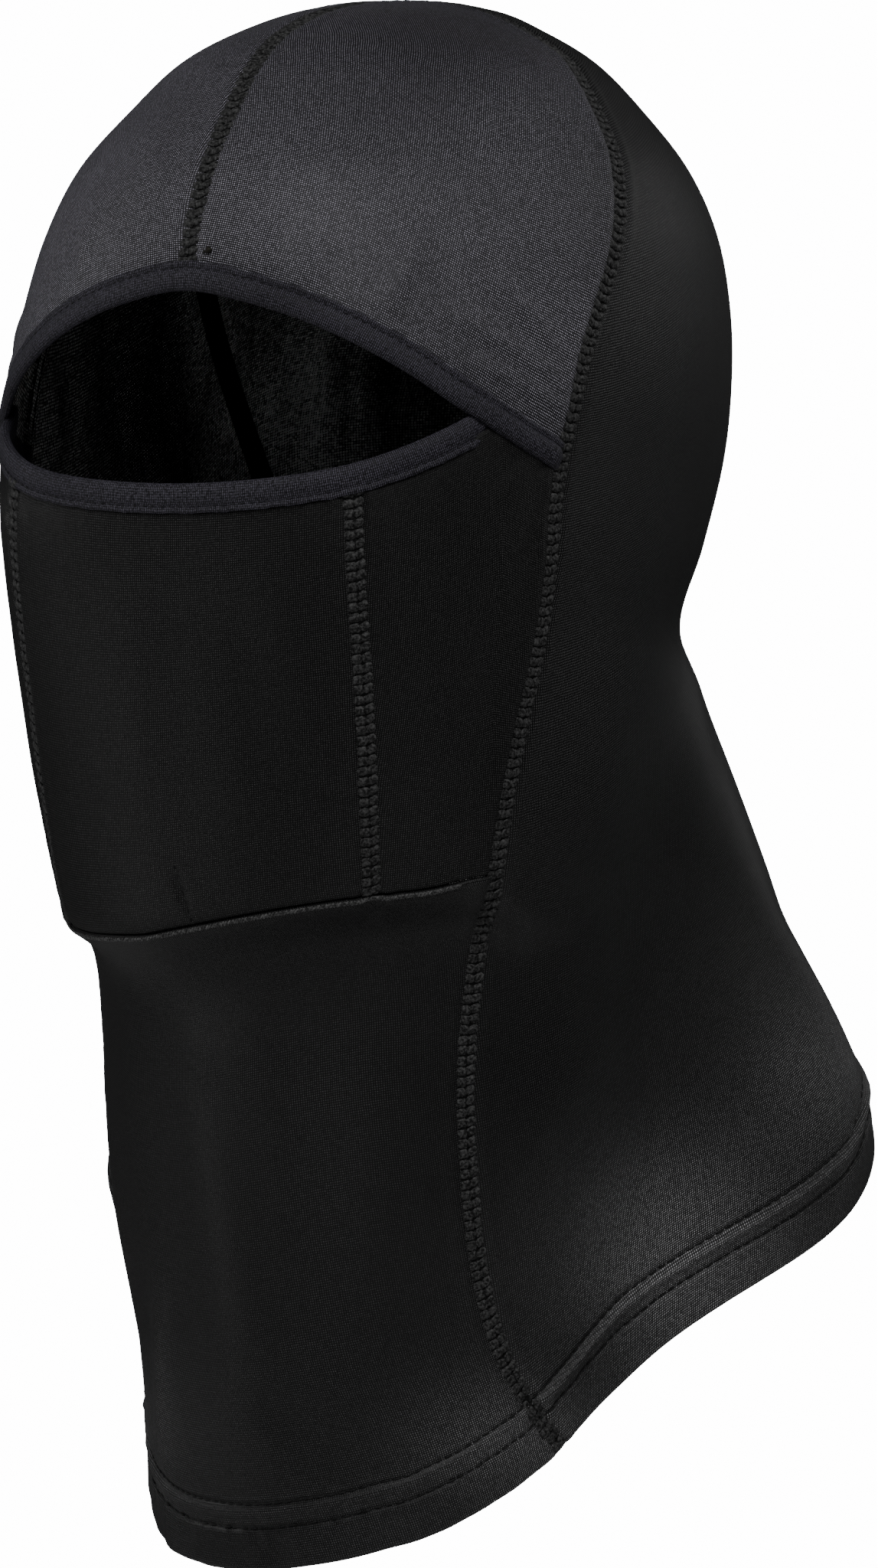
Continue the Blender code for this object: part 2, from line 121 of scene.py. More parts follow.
def smooth(points, x):
    """A smooth curve through (x, y) points, straight past both ends."""
    xs, ys = np.array(points, float).T
    x = np.asarray(x, float)
    slopes = np.empty_like(ys)
    slopes[1:-1] = (ys[2:] - ys[:-2]) / (xs[2:] - xs[:-2])
    slopes[0] = (ys[1] - ys[0]) / (xs[1] - xs[0])
    slopes[-1] = (ys[-1] - ys[-2]) / (xs[-1] - xs[-2])
    i = np.clip(np.searchsorted(xs, x) - 1, 0, len(xs) - 2)
    w = xs[i + 1] - xs[i]
    t = (x - xs[i]) / w
    inside = (ys[i] + (ys[i + 1] - ys[i]) * t * t * (3 - 2 * t) + slopes[i] * w * t * (1 - t) ** 2
              - slopes[i + 1] * w * t * t * (1 - t))
    before = ys[0] + slopes[0] * (x - xs[0])
    after = ys[-1] + slopes[-1] * (x - xs[-1])
    return np.where(x < xs[0], before, np.where(x > xs[-1], after, inside))


def mirrored(points):
    return [(-a, d) for a, d in reversed(points) if a > 0] + points


def section_tables(steps=200):
    """Every column of SECTIONS at closely spaced rows; past the crown the rows mirror."""
    last = len(SECTIONS) - 1
    mirror = SECTIONS[1] * np.array([1, -1, -1, -1, 1, 1, 1, 1])
    rows = np.vstack([mirror, SECTIONS, SECTIONS[-1]])
    u = np.linspace(0, last, steps * last + 1)
    i = np.minimum(u.astype(int), last - 1)
    t = (u - i)[:, None]
    a, b, c, d = rows[i], rows[i + 1], rows[i + 2], rows[i + 3]
    return (0.5 * (2 * b + (c - a) * t + (2 * a - 5 * b + 4 * c - d) * t ** 2
                   + (3 * b - 3 * c + d - a) * t ** 3)).T


TABLES = section_tables()
DROPS = TABLES[0]


def skin(angle, drop):
    """The hood's outer face before its folds, in millimetres."""
    angle, drop = np.broadcast_arrays(np.asarray(angle, float), np.asarray(drop, float))
    near_front = np.abs(angle) < CHIN_ANGLE
    fade = np.clip(1 - (angle / CHIN_ANGLE) ** 4, 0, None)
    tilt = np.where(near_front, (CHIN_LEVEL - smooth(CHIN_LINE, angle)) * fade, 0)
    level = drop + tilt * np.exp(-((drop - CHIN_LEVEL) / CHIN_REACH) ** 2)
    front, side, back, front_power, back_power, flare, centre = (
        np.interp(level, DROPS, TABLES[k]) for k in range(1, 8))
    a = np.radians(angle)
    ahead = np.cos(a) >= 0
    reach = np.maximum(np.where(ahead, front, back), 1e-6)
    power = np.where(ahead, front_power, back_power)
    side = np.maximum(side, 1e-6)
    radius = ((np.abs(np.sin(a)) / side) ** power + (np.abs(np.cos(a)) / reach) ** power) ** (-1 / power)
    turn = np.abs((angle + 180) % 360 - 180)
    forwards = np.where(np.sin(a) > 0, FLARE_FRONT, FLARE_FRONT_RIGHT)
    spread = np.where(turn < FLARE_ANGLE, forwards, FLARE_BACK)
    radius = radius + flare * np.exp(-((turn - FLARE_ANGLE) / spread) ** 2)
    return np.stack([radius * np.sin(a), centre - radius * np.cos(a), -drop], -1)


def size(v):
    return np.linalg.norm(v, axis=-1)


def unit(v):
    return v / np.maximum(size(v)[..., None], 1e-9)


def outward(angle, drop, step=0.5):
    """Unit normals of the skin."""
    angle, drop = np.broadcast_arrays(np.asarray(angle, float), np.asarray(drop, float))
    d = np.minimum(step, np.maximum(drop, 0.02) / 2)
    across = skin(angle + step, drop) - skin(angle - step, drop)
    down = skin(angle, drop + d) - skin(angle, drop - d)
    normal = unit(np.cross(down, across))
    top = np.clip(drop / 0.1, 0, 1)[..., None]
    return unit(normal * top + np.array([0, 0, 1.0]) * (1 - top))


def tabulated(function, samples):
    values = function(samples)
    return lambda x: np.interp(x, samples, values)


DROP_SAMPLES = np.concatenate([np.linspace(0.02, 2, 60), np.linspace(2.2, 376, 900)])
ANGLE_SAMPLES = np.linspace(-180, 180, 1441)


def beside(line, distance, step=0.5):
    """The line angle(drop), moved sideways on the skin by a distance."""
    def moved(drop):
        angle = line(drop)
        d = np.minimum(step, drop / 2)
        along = skin(line(drop + d), drop + d) - skin(line(drop - d), drop - d)
        turned = angle
        for _ in range(4):
            across = (skin(turned + step, drop) - skin(turned - step, drop)) / math.radians(2 * step)
            turn = distance * size(along) / size(np.cross(along, across))
            turned = angle + np.degrees(np.arcsin(np.clip(turn, -1, 1)))
        return turned
    return tabulated(moved, DROP_SAMPLES)


def below(line, distance, step=0.5):
    """The line drop(angle), moved down the skin by a distance."""
    def moved(angle):
        drop = line(angle)
        along = skin(angle + step, line(angle + step)) - skin(angle - step, line(angle - step))
        down = (skin(angle, drop + step) - skin(angle, drop - step)) / (2 * step)
        return drop + distance * size(along) / size(np.cross(along, down))
    return tabulated(moved, ANGLE_SAMPLES)


def seam_line(points, sign):
    """A seam as angle(drop); sign is 1 on the wearer's left and -1 on the right."""
    return lambda drop: sign * smooth(points, drop)


side_seam, right_side_seam = seam_line(SIDE_SEAM, 1), seam_line(RIGHT_SIDE_SEAM, -1)
cheek_seam, right_cheek_seam = seam_line(CHEEK_SEAM, 1), seam_line(RIGHT_CHEEK_SEAM, -1)
SIDES = (("left", 1, side_seam, cheek_seam), ("right", -1, right_side_seam, right_cheek_seam))


def middle(drop):
    return np.zeros_like(np.asarray(drop, float))


def middle_back(drop):
    return middle(drop) + 180.0


def brow(angle):
    return smooth(mirrored(BROW_LINE), angle)


def mask_edge(angle):
    return smooth(mirrored(MASK_LINE), angle)


def chin(angle):
    return smooth(CHIN_LINE, angle)


def hem(angle):
    return smooth(HEM_LINE, (np.asarray(angle, float) + 180) % 360 - 180)


# how much shorter a distance across the hem is than the drop between the same lines
BELOW_HEM = below(hem, 1.0)
HEM_TILT = tabulated(lambda angle: 1 / (BELOW_HEM(angle) - hem(angle)), ANGLE_SAMPLES)


def above_hem(angle, drop):
    """Distance up from the hem's edge, across the cloth."""
    return (hem(angle) - drop) * HEM_TILT(angle)


# ---- folds

# Soft folds as (angle, drop) of both ends, half-width and height; a negative height is a hollow.
PAIRED_FOLDS = [
    ((60, 92), (38, 74), 3.0, 1.1), ((61, 98), (42, 86), 2.4, 0.9), ((118, 152), (100, 205), 7.0, 1.3),
    ((150, 151), (140, 190), 8.0, 1.2), ((112, 205), (122, 268), 7.0, 1.5),
    ((88, 215), (98, 300), 9.0, -1.6), ((40, 126), (52, 176), 6.0, -0.7),
]
FOLDS = PAIRED_FOLDS + [((-a, b), (-c, d), width, rise) for (a, b), (c, d), width, rise in PAIRED_FOLDS] + [
    ((60, 86), (48, 66), 3.2, 0.7), ((13, 66), (15, 54), 2.0, 0.6), ((19, 69), (23, 56), 2.2, 0.7),
    ((30, 76), (36, 60), 2.6, 0.7), ((-20, 68), (-24, 52), 2.6, 0.7), ((14, 232), (20, 330), 10.0, -1.8),
    ((-12, 236), (-6, 335), 9.0, 1.2), ((33, 225), (40, 320), 7.0, 0.9), ((0, 330), (24, 352), 6.0, -0.9),
    ((72, 222), (66, 300), 6.0, 0.8), ((10, 140), (14, 196), 9.0, -0.8), ((-8, 130), (-10, 200), 8.0, 0.5),
    ((-33, 298), (-42, 350), 4.5, 1.5), ((-60, 262), (-58, 318), 8.0, 1.2),
    ((-92, 268), (-98, 304), 9.0, -1.6), ((-38, 119), (-30, 129), 1.7, 0.5),
    ((-34, 117), (-27, 125), 1.6, 0.4), ((-3.6, 206), (-1.4, 218), 1.0, -0.5),
    ((56, 108), (44, 124), 3.0, 0.6), ((58, 118), (50, 138), 3.0, -0.5),
]

# Painted highlight and sheen where the satin cloth is drawn paler, and painted shade where the amount is
# negative: angle, drop, reach round and reach down in millimetres, and how much.
PAINTED_LIGHT = [
    (98, 300, 26, 24, 12.0), (64, 342, 24, 14, 7.5), (30, 364, 26, 9, 0.9), (112, 258, 22, 26, 5.0),
    (-98, 298, 30, 26, 9.0), (-66, 340, 30, 16, 6.0), (-112, 258, 22, 26, 4.5),
    (86, 58, 34, 28, 1.2), (-86, 58, 34, 28, 1.2), (112, 170, 36, 60, -0.35), (-34, 123, 9, 7, 1.2),
    (-38, 322, 7, 24, 1.0), (17, 285, 11, 60, 0.35), (-7, 305, 12, 60, -0.3), (37, 285, 11, 50, -0.3),
    (60, 255, 22, 60, -0.35), (-11, 366, 14, 10, -0.5),
]
# Painted shade and painted highlight on the crown, in the same columns.
CROWN_PAINTED_LIGHT = [
    (50, 6, 36, 18, -0.6), (84, 44, 18, 30, -0.22), (24, 50, 26, 14, 0.25), (-30, 50, 24, 24, 0.35),
    (66, 76, 14, 14, 0.3),
]
# Painted shade and painted light on the inside of the cloth, in the same columns.
INSIDE_PAINTED_LIGHT = [
    (-98, 85, 24, 45, -0.9), (-125, 98, 12, 30, 1.8), (-141, 92, 10, 36, 2.4), (-149, 90, 4, 50, -0.5),
    (-118, 60, 8, 30, 0.8),
]


def bell(x, width):
    return np.exp(-(x / width) ** 2)


def painted_light_at(p, places):
    """How much painted highlight, or painted shade where negative, the cloth gets at each point."""
    total = np.zeros(p.shape[:-1])
    for angle, drop, round_way, down, amount in places:
        away = p - skin(float(angle), float(drop))
        level = np.hypot(away[..., 0], away[..., 1]) / round_way
        total = total + amount * np.exp(-level ** 2 - (away[..., 2] / down) ** 2)
    return total


def hem_painted_light(angle, drop):
    """Painted shade along the rows of stitching, and painted highlight on the ridge between them and just
    under each row.
    """
    up = above_hem(angle, drop)
    painted_shading = 0.9 * bell(up - HEM_WELT, 1.0)
    for row in HEM_ROWS:
        painted_shading = painted_shading - 1.2 * bell(up - row, 0.55)
        painted_shading = painted_shading + 0.6 * bell(up - row - 1.3, 0.5)
    return painted_shading


def segment_distance(p, a, b):
    """Distance of each point from a segment, and how far along it the nearest place is."""
    d = b - a
    t = np.clip(((p - a) @ d) / (d @ d), 0, 1)
    return size(p - a - t[..., None] * d), t


def into_seam(distance):
    """The cloth dips under a flatlock seam's threads and stands a little proud beside them."""
    return -0.75 * np.exp(-(distance / 2.2) ** 3), 0.3 * bell(distance - 4.2, 1.4)


def seam_table(line, first, last):
    """Places and directions along a seam that runs between two drops."""
    p = skin(line(DROP_SAMPLES), DROP_SAMPLES)
    return np.hstack([p, unit(np.gradient(p, axis=0))]).T, first, last


SEAM_TABLES = [
    seam_table(side_seam, 0, SEAM_END), seam_table(right_side_seam, 0, SEAM_END),
    seam_table(middle, 0, 62), seam_table(middle_back, 0, 248),
    seam_table(cheek_seam, 118, 216), seam_table(right_cheek_seam, 118, 216),
]


def ramp(x):
    return np.clip(x, 0, 1)


def seam_relief(p, drop):
    """How far the seams draw the cloth in and push it up beside them."""
    dip, rise = np.zeros(np.shape(drop)), np.zeros(np.shape(drop))
    for table, first, last in SEAM_TABLES:
        near = np.stack([np.interp(drop, DROP_SAMPLES, row) for row in table], -1)
        away, along = p - near[..., :3], near[..., 3:]
        distance = size(away - (away * along).sum(-1, keepdims=True) * along)
        there = ramp((drop - first) / 3 + 1) * ramp((last - drop) / 3 + 1)
        lower, higher = into_seam(distance)
        dip, rise = np.minimum(dip, there * lower), np.maximum(rise, there * higher)
    return dip + rise


def wander(x, seed, wavelength):
    """A smooth irregular wave between about -1 and 1."""
    k = 2 * np.pi / wavelength
    return (np.sin(k * x + seed) + 0.6 * np.sin(1.7 * k * x + 2.3 * seed)
            + 0.4 * np.sin(2.9 * k * x - seed)) / 2


def relief(p, angle, drop):
    """Height of folds, hem tunnel and stitch grooves over the skin."""
    height = np.zeros(np.shape(drop))
    for a, b, width, rise in FOLDS:
        distance, t = segment_distance(p, skin(*a), skin(*b))
        height = height + rise * bell(distance, width) * np.sin(np.pi * np.clip(t, 0.02, 0.98)) ** 0.7
    up = above_hem(angle, drop)
    round_way = np.abs((angle + 180) % 360 - 180)
    behind_seam = ramp((round_way - 66) / 10) * ramp((130 - round_way) / 25)
    along = angle * MM_PER_DEGREE
    for row in HEM_ROWS:
        height = height - (0.5 + 0.3 * behind_seam) * bell(up - row, 0.75)
    height = height + (0.45 + 1.15 * behind_seam) * bell(up - HEM_WELT, 1.15)
    height = height + 0.35 * wander(along, 1.0, 9) * bell(up - 8.5, 4.5)
    height = height + 0.6 * wander(along, 4.0, 37) * bell(up, 7.0)
    return height + seam_relief(p, drop)


def cloth(angle, drop, lift=0.0):
    """A place on the folded cloth, lifted off it by a distance."""
    p = skin(angle, drop)
    return p + outward(angle, drop) * (relief(p, angle, drop) + lift)[..., None]


# ---- mesh helpers

COLLECTION = bpy.data.collections.new("balaclava_looks")
bpy.context.scene.collection.children.link(COLLECTION)


def new_piece(name, verts, faces, materials, uvs=None, smooth_shading=True, extra=False):
    """An object of faces, named for its node with _look after it. An extra one stands for no node."""
    mesh = bpy.data.meshes.new(name)
    mesh.from_pydata((np.asarray(verts) * MM).tolist(), [], [tuple(int(i) for i in f) for f in faces])
    if uvs is not None:
        layer = mesh.uv_layers.new(name="UVMap")
        corners = np.empty(len(mesh.loops), dtype=np.int32)
        mesh.loops.foreach_get("vertex_index", corners)
        layer.data.foreach_set("uv", np.asarray(uvs)[corners].astype(np.float32).ravel())
    if smooth_shading:
        mesh.shade_smooth()
    for material in materials:
        mesh.materials.append(material)
    piece = bpy.data.objects.new(name + "_look", mesh)
    COLLECTION.objects.link(piece)
    if not extra:
        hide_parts(name)
    return piece


def grid_faces(rows, columns):
    i, j = np.meshgrid(np.arange(rows), np.arange(columns), indexing="ij")
    a = (i * (columns + 1) + j).ravel()
    return np.stack([a, a + columns + 1, a + columns + 2, a + 1], -1)


def arc_lengths(p, axis):
    """Distance run along one axis of a grid of points."""
    steps = size(np.diff(p, axis=axis))
    zero = np.zeros_like(np.take(steps, [0], axis=axis))
    return np.concatenate([zero, np.cumsum(steps, axis=axis)], axis=axis)


LENGTHS = arc_lengths(skin(90.0, DROPS), 0)


def patch(left, right, top, bottom, columns, rows):
    """Angles and drops of a grid between two seams and two edges. rows is a number of even rows, or where
    each row lies from 0 at the top to 1."""
    levels = np.linspace(0, 1, rows + 1) if isinstance(rows, int) else rows
    across, down = np.meshgrid(np.linspace(0, 1, columns + 1), levels)
    drop = 100 + 100 * down
    for _ in range(80):
        first, last = left(drop), right(drop)
        angle = first + (last - first) * across
        start = np.interp(top(angle), DROPS, LENGTHS)
        end = np.interp(bottom(angle), DROPS, LENGTHS)
        wanted = np.interp(start + (end - start) * down, LENGTHS, DROPS)
        drop = drop + 0.6 * (wanted - drop)
    return angle, drop


def roll_in(points, u, v, normal, radius, at_top, turn=0.6 * np.pi, steps=6):
    """Turns the cloth's first or last row inwards round a radius."""
    edge, before = (points[0], points[1]) if at_top else (points[-1], points[-2])
    onward = unit(edge - before)
    angles = np.linspace(0, turn, steps + 1)[1:, None, None]
    rolled = edge + onward * radius * np.sin(angles) + normal * radius * (np.cos(angles) - 1)
    run = np.arange(1, steps + 1)[:, None] * radius * turn / steps
    if at_top:
        return (np.concatenate([rolled[::-1], points]), np.concatenate([np.repeat(u[:1], steps, 0), u]),
                np.concatenate([v[:1] - run[::-1], v]))
    return (np.concatenate([points, rolled]), np.concatenate([u, np.repeat(u[-1:], steps, 0)]),
            np.concatenate([v, v[-1:] + run]))


HEM_ZONE = 24.0           # above the edge, where the rows of stitching need a fine mesh
HEM_STEP = 0.5            # between its rows
UV_SCALE = 0.01           # UV units per millimetre


def hemmed_rows(rows, length):
    """Levels of a panel's rows, close together over the hem."""
    fine = HEM_ZONE / length
    return np.concatenate([np.linspace(0, 1 - fine, rows)[:-1],
                           np.linspace(1 - fine, 1, int(HEM_ZONE / HEM_STEP))])


def knit_panel(name, edges, materials, slot, spacing=2.0, bound=(False, False), rolls=(0, 0), lip=0.0):
    """A cloth panel between its left, right, top and bottom edges. bound says which of top and bottom a
    binding holds, rolls gives the radius that each is turned in by, and lip lifts the top."""
    probe = skin(*patch(*edges, 12, 12))
    columns = max(8, int(arc_lengths(probe, 1).max() / spacing))
    rows = max(6, int(arc_lengths(probe, 0).max() / spacing))
    if rolls[1] == FOLD_RADIUS:
        rows = hemmed_rows(rows, rows * spacing)
    angle, drop = patch(*edges, columns, rows)
    flat = skin(angle, drop)
    u, v = arc_lengths(flat, 1), arc_lengths(flat, 0)
    # Painted highlight and shade, one for the outside and one for the inside of the cloth.
    places = CROWN_PAINTED_LIGHT if slot == "knit_crown" else PAINTED_LIGHT
    painted_shadings = [painted_light_at(flat, places) + hem_painted_light(angle, drop), painted_light_at(flat, INSIDE_PAINTED_LIGHT)]
    from_top, from_bottom = v, v[-1:, :] - v
    lift = lip * bell(from_top, 2.5)
    for side, distance in ((2.0, u), (5.0, u[:, -1:] - u)):
        lift = lift + 0.16 * wander(v, side, 5.2) * np.exp(-distance / 3.5)
    for held, seed, distance in ((bound[0], 3.0, from_top), (bound[1], 7.0, from_bottom)):
        if held:
            nip = -0.3 * bell(distance, 5.0)
            lift = lift + nip + 0.22 * wander(u, seed, 6.0) * np.exp(-distance / 5.0)
    points = cloth(angle, drop, lift)
    mid = columns // 2
    u = u - u[:, mid:mid + 1]
    v = np.repeat(v[:, mid:mid + 1], columns + 1, 1)
    for row, radius, at_top in ((0, rolls[0], True), (-1, rolls[1], False)):
        if radius:
            normal = outward(angle[row], drop[row])
            points, u, v = roll_in(points, u, v, normal, radius, at_top)
            more = len(points) - len(painted_shadings[0])
            ends = ((more, 0) if at_top else (0, more), (0, 0))
            painted_shadings = [np.pad(painted_shading, ends, mode="edge") for painted_shading in painted_shadings]
    return finish_cloth(name, points, u, v, materials, painted_shadings)


def finish_cloth(name, points, u, v, materials, painted_shadings=(), thickness=KNIT, inside_out=False):
    """A grid of points as cloth that thickens inwards. A second material goes on its inside."""
    faces = grid_faces(points.shape[0] - 1, points.shape[1] - 1)
    uvs = np.stack([u, v], -1).reshape(-1, 2) * UV_SCALE
    faces = faces[:, ::-1] if inside_out else faces
    piece = new_piece(name, points.reshape(-1, 3), faces, materials, uvs)
    # The painted highlight and shade go on the points, for the materials to read.
    for attribute, painted_shading in zip(("painted_light", "painted_light_inside"), painted_shadings):
        painted_light = piece.data.attributes.new(attribute, "FLOAT", "POINT")
        painted_light.data.foreach_set("value", painted_shading.ravel().astype(np.float32))
    solid = piece.modifiers.new("thickness", "SOLIDIFY")
    solid.thickness = thickness * MM
    solid.offset = -1.0
    solid.material_offset = len(materials) - 1
    solid.material_offset_rim = 0
    return piece


def along_route(angle, drop, pitch, lift=0.0):
    """Evenly spaced places along a route, with the frame across, along and out of the cloth."""
    p = cloth(angle, drop)
    run = arc_lengths(p, 0)
    count = max(2, int(round(run[-1] / pitch)) + 1)
    at = np.linspace(0, run[-1], count)
    a, d = np.interp(at, run, angle), np.interp(at, run, drop)
    centre = cloth(a, d, lift)
    normal = outward(a, d)
    along = unit(np.gradient(centre, axis=0))
    across = unit(np.cross(normal, along))
    normal = unit(np.cross(along, across))
    return centre, across, along, normal, at


def stamp(name, templates, faces, frames, material, slot, extra=False):
    """One mesh of many copies of the templates, each in its own frame (centre, x, y, z, sizes)."""
    verts, all_faces = [], []
    size_of_one = len(templates[0])
    for k, (centre, x, y, z, sizes) in enumerate(frames):
        local = templates[k * 7 % len(templates)] * sizes
        verts.append(centre + local[:, :1] * x + local[:, 1:2] * y + local[:, 2:] * z)
        all_faces.extend(tuple(i + k * size_of_one for i in f) for f in faces)
    return new_piece(name, np.concatenate(verts), all_faces, [material], extra=extra)


def tube_faces(segments, sides):
    """Faces of a closed tube of rings, with a cap at each end."""
    faces = [(i + j, i + (j + 1) % sides, i + sides + (j + 1) % sides, i + sides + j)
             for i in range(0, segments * sides, sides) for j in range(sides)]
    return faces + [tuple(range(sides - 1, -1, -1)), tuple(segments * sides + j for j in range(sides))]


def bead(segments, sides, droop=0.0, blunt=0.75):
    """A rounded bar along x from -1 to 1, bent down at both ends."""
    around = np.linspace(0, 2 * np.pi, sides, endpoint=False)
    verts = []
    for x in np.linspace(-1, 1, segments + 1):
        thick = (1 - abs(x) ** 2.6 * blunt) ** 0.5
        verts.append(np.stack([np.full(sides, x), thick * np.cos(around),
                               thick * np.sin(around) - droop * x * x], -1))
    return [np.concatenate(verts)], tube_faces(segments, sides)


def looper_bundle(segments=8, sides=16, kinds=7):
    """A plump bundle of textured threads, boxy, grooved along its strands and never twice the same."""
    around = np.linspace(0, 2 * np.pi, sides, endpoint=False)
    bundles = []
    for _ in range(kinds):
        twist, phase = RANDOM.uniform(0.6, 2.2), RANDOM.uniform(0, 6)
        verts = []
        for x in np.linspace(-1, 1, segments + 1):
            thick = max(0.2, 1 - abs(x) ** 6) ** 0.5
            strands = 1 + 0.09 * np.cos(4 * around + phase + twist * x) + RANDOM.uniform(-0.03, 0.03, sides)
            y = np.sign(np.cos(around)) * np.abs(np.cos(around)) ** 0.75
            z = np.sign(np.sin(around)) * np.abs(np.sin(around)) ** 0.8
            verts.append(np.stack([x + RANDOM.uniform(-0.02, 0.02, sides), thick * strands * y,
                                   thick * strands * z - 0.35 * x * x], -1))
        bundles.append(np.concatenate(verts))
    return bundles, tube_faces(segments, sides)


BUNDLE = looper_bundle()
DASH = bead(5, 7, droop=0.9, blunt=0.6)
KNOT = bead(6, 10, blunt=0.98)

FLATLOCK_PITCH = 2.45
BLOCK_ACROSS, LEAF_ACROSS = -1.22, 1.25     # of each column of bundles, from the seam's middle
LEAF_RISE = 0.5           # along the seam, against the block beside it
BLOCK_TILT, LEAF_TILT = 5, 30
EDGE_ACROSS = 2.85        # of the fine chain on both sides


def turned(x, y, degrees):
    t = math.radians(degrees)
    return x * math.cos(t) + y * math.sin(t), y * math.cos(t) - x * math.sin(t)


def ribbon_piece(name, angle, drop, profile, pitch, material, extra=False):
    """A flat strip along a route, with a profile of distances across it and lifts."""
    centre, across, along, normal, at = along_route(angle, drop, pitch)
    verts = np.stack([centre + across * x + normal * z for x, z in profile], 1).reshape(-1, 3)
    faces = tube_faces(len(centre) - 1, len(profile))
    piece = new_piece(name, verts, faces, [material], smooth_shading=False, extra=extra)
    fix_normals(piece)
    return piece


SEAM_BASE = [(-2.3, -0.1), (-1.2, 0.12), (1.2, 0.12), (2.3, -0.1), (2.3, -0.5), (-2.3, -0.5)]


def flatlock(name, angle, drop, mirror=1, slot="seam_thread"):
    """Blocks of looper thread in one column and slanted leaves in the other, over a strip of joined cloth,
    with a fine chain of stitches on both sides."""
    centre, across, along, normal, at = along_route(angle, drop, FLATLOCK_PITCH)
    across = across * mirror
    frames = []
    for k in range(len(centre)):
        for leaf in (False, True):
            jitter = RANDOM.uniform(-1, 1, 6)
            column = LEAF_ACROSS if leaf else BLOCK_ACROSS
            x, y = turned(across[k], -along[k], (LEAF_TILT if leaf else BLOCK_TILT) + 8 * jitter[0])
            place = (centre[k] + across[k] * (column + 0.07 * jitter[1])
                     + normal[k] * (0.2 + 0.06 * jitter[5]) - along[k] * (LEAF_RISE * leaf + 0.1 * jitter[2]))
            sizes = np.array([1.5 + 0.08 * jitter[3], (1.0 if leaf else 1.1) + 0.05 * jitter[4], 0.55])
            frames.append((place, x, y, np.cross(x, y) * mirror, sizes))
    loops = stamp(name, *BUNDLE, frames, THREAD, slot)
    if mirror < 0:
        fix_normals(loops)
    edge = []
    centre, across, along, normal, at = along_route(angle, drop, FLATLOCK_PITCH / 2)
    for k in range(len(centre)):
        for column in (-1, 1):
            jitter = RANDOM.uniform(-1, 1, 2)
            x, y = turned(along[k], across[k], 24 * column * (-1) ** k + 10 * jitter[0])
            place = centre[k] + across[k] * column * (EDGE_ACROSS + 0.1 * jitter[1]) + normal[k] * 0.05
            edge.append((place, x, y, normal[k], np.array([0.6, 0.19, 0.24])))
    fine = stamp(name + "_edge", *DASH, edge, EDGE_THREAD, slot, extra=True)
    base = ribbon_piece(name + "_base", angle, drop, SEAM_BASE, 2.0, SEAM_CLOTH, extra=True)
    return loops, fine, base


def stitch_row(name, angle, drop, pitch, length, material, lift, thickness, closed=False):
    """A row of separate stitches lying on the cloth, their ends drawn into it."""
    centre, across, along, normal, at = along_route(angle, drop, pitch, lift)
    if closed:
        centre, across, along, normal = (v[:-1] for v in (centre, across, along, normal))
    frames = []
    for k in range(len(centre)):
        jitter = RANDOM.uniform(-1, 1, 2)
        x, y = turned(along[k], across[k], 4 * jitter[0])
        sizes = np.array([length / 2 * (1 + 0.08 * jitter[1]), thickness, thickness * 0.8])
        frames.append((centre[k], x, y, normal[k], sizes))
    return stamp(name, *DASH, frames, material, "fine_thread")


# Profile of a folded binding, from its sewn edge round the folded edge and back inside: distance
# across it, and lift over the cloth. The stitching lies in the hollow near the sewn edge.
BINDING_PROFILE = [(-3.6, 0.05), (-3.5, 0.42), (-3.0, 0.58), (-2.4, 0.5), (-1.95, 0.18), (-1.5, 0.5),
                   (-0.8, 0.86), (0.4, 0.96), (1.8, 0.9), (2.8, 0.62), (3.4, 0.15), (3.6, -0.5), (3.3, -1.2),
                   (2.4, -1.6), (0.5, -1.75), (-1.6, -1.65), (-3.1, -1.45), (-3.4, -1.0)]
STITCH_ACROSS = -1.95


def binding(name, line, start, end, sewn_up, material, end_lift, spacing=1.3):
    """A folded elastic binding along drop(angle); sewn_up is +1 if its sewn edge is the upper one, and
    end_lift raises both its ends."""
    angle = np.linspace(start, end, 400)
    centre, across, along, normal, at = along_route(angle, line(angle), spacing)
    side = across * np.sign(across[:, 2:].mean()) * sewn_up
    profile = np.array(BINDING_PROFILE)
    edge_wave = 0.2 * wander(at, 1.3, 9.0) + 0.07 * wander(at, 2.1, 2.7)
    verts = []
    ripple = 0.08 * wander(at, 0.4, 2.6)
    to_end = np.minimum(at, at[-1] - at)
    raised = end_lift * ramp(1 - (to_end - 6) / 9) ** 2 if end_lift < 0 else (
        end_lift * ramp(1 - (to_end - 22) / 8) * ramp(to_end / 5))
    for x, lift in profile:
        near_sewn = ramp((-x - 1.0) / 2.6)
        offset = -x + near_sewn * edge_wave
        height = lift + near_sewn * ripple * (lift > -0.9) + raised
        verts.append(centre + side * offset[:, None] + normal * height[:, None])
    verts = np.stack(verts, 1).reshape(-1, 3)
    uv = np.stack(np.broadcast_arrays(at[:, None], arc_lengths(profile, 0)[None]), -1)
    faces = tube_faces(len(centre) - 1, len(profile))
    piece = new_piece(name, verts, faces, [material], uv.reshape(-1, 2) * UV_SCALE)
    fix_normals(piece)
    return piece


def fix_normals(piece):
    """Turns every face outwards."""
    bm = bmesh.new()
    bm.from_mesh(piece.data)
    bmesh.ops.recalc_face_normals(bm, faces=bm.faces)
    bm.to_mesh(piece.data)
    bm.free()


# ---- materials

DARKER_LOOPS = 2.6        # how fast loops sharpen, and so darken, where the painted light goes below nothing, as painted shade
BINDING_RIB, BINDING_PICK = 0.5, 0.62       # spacings along and across a binding


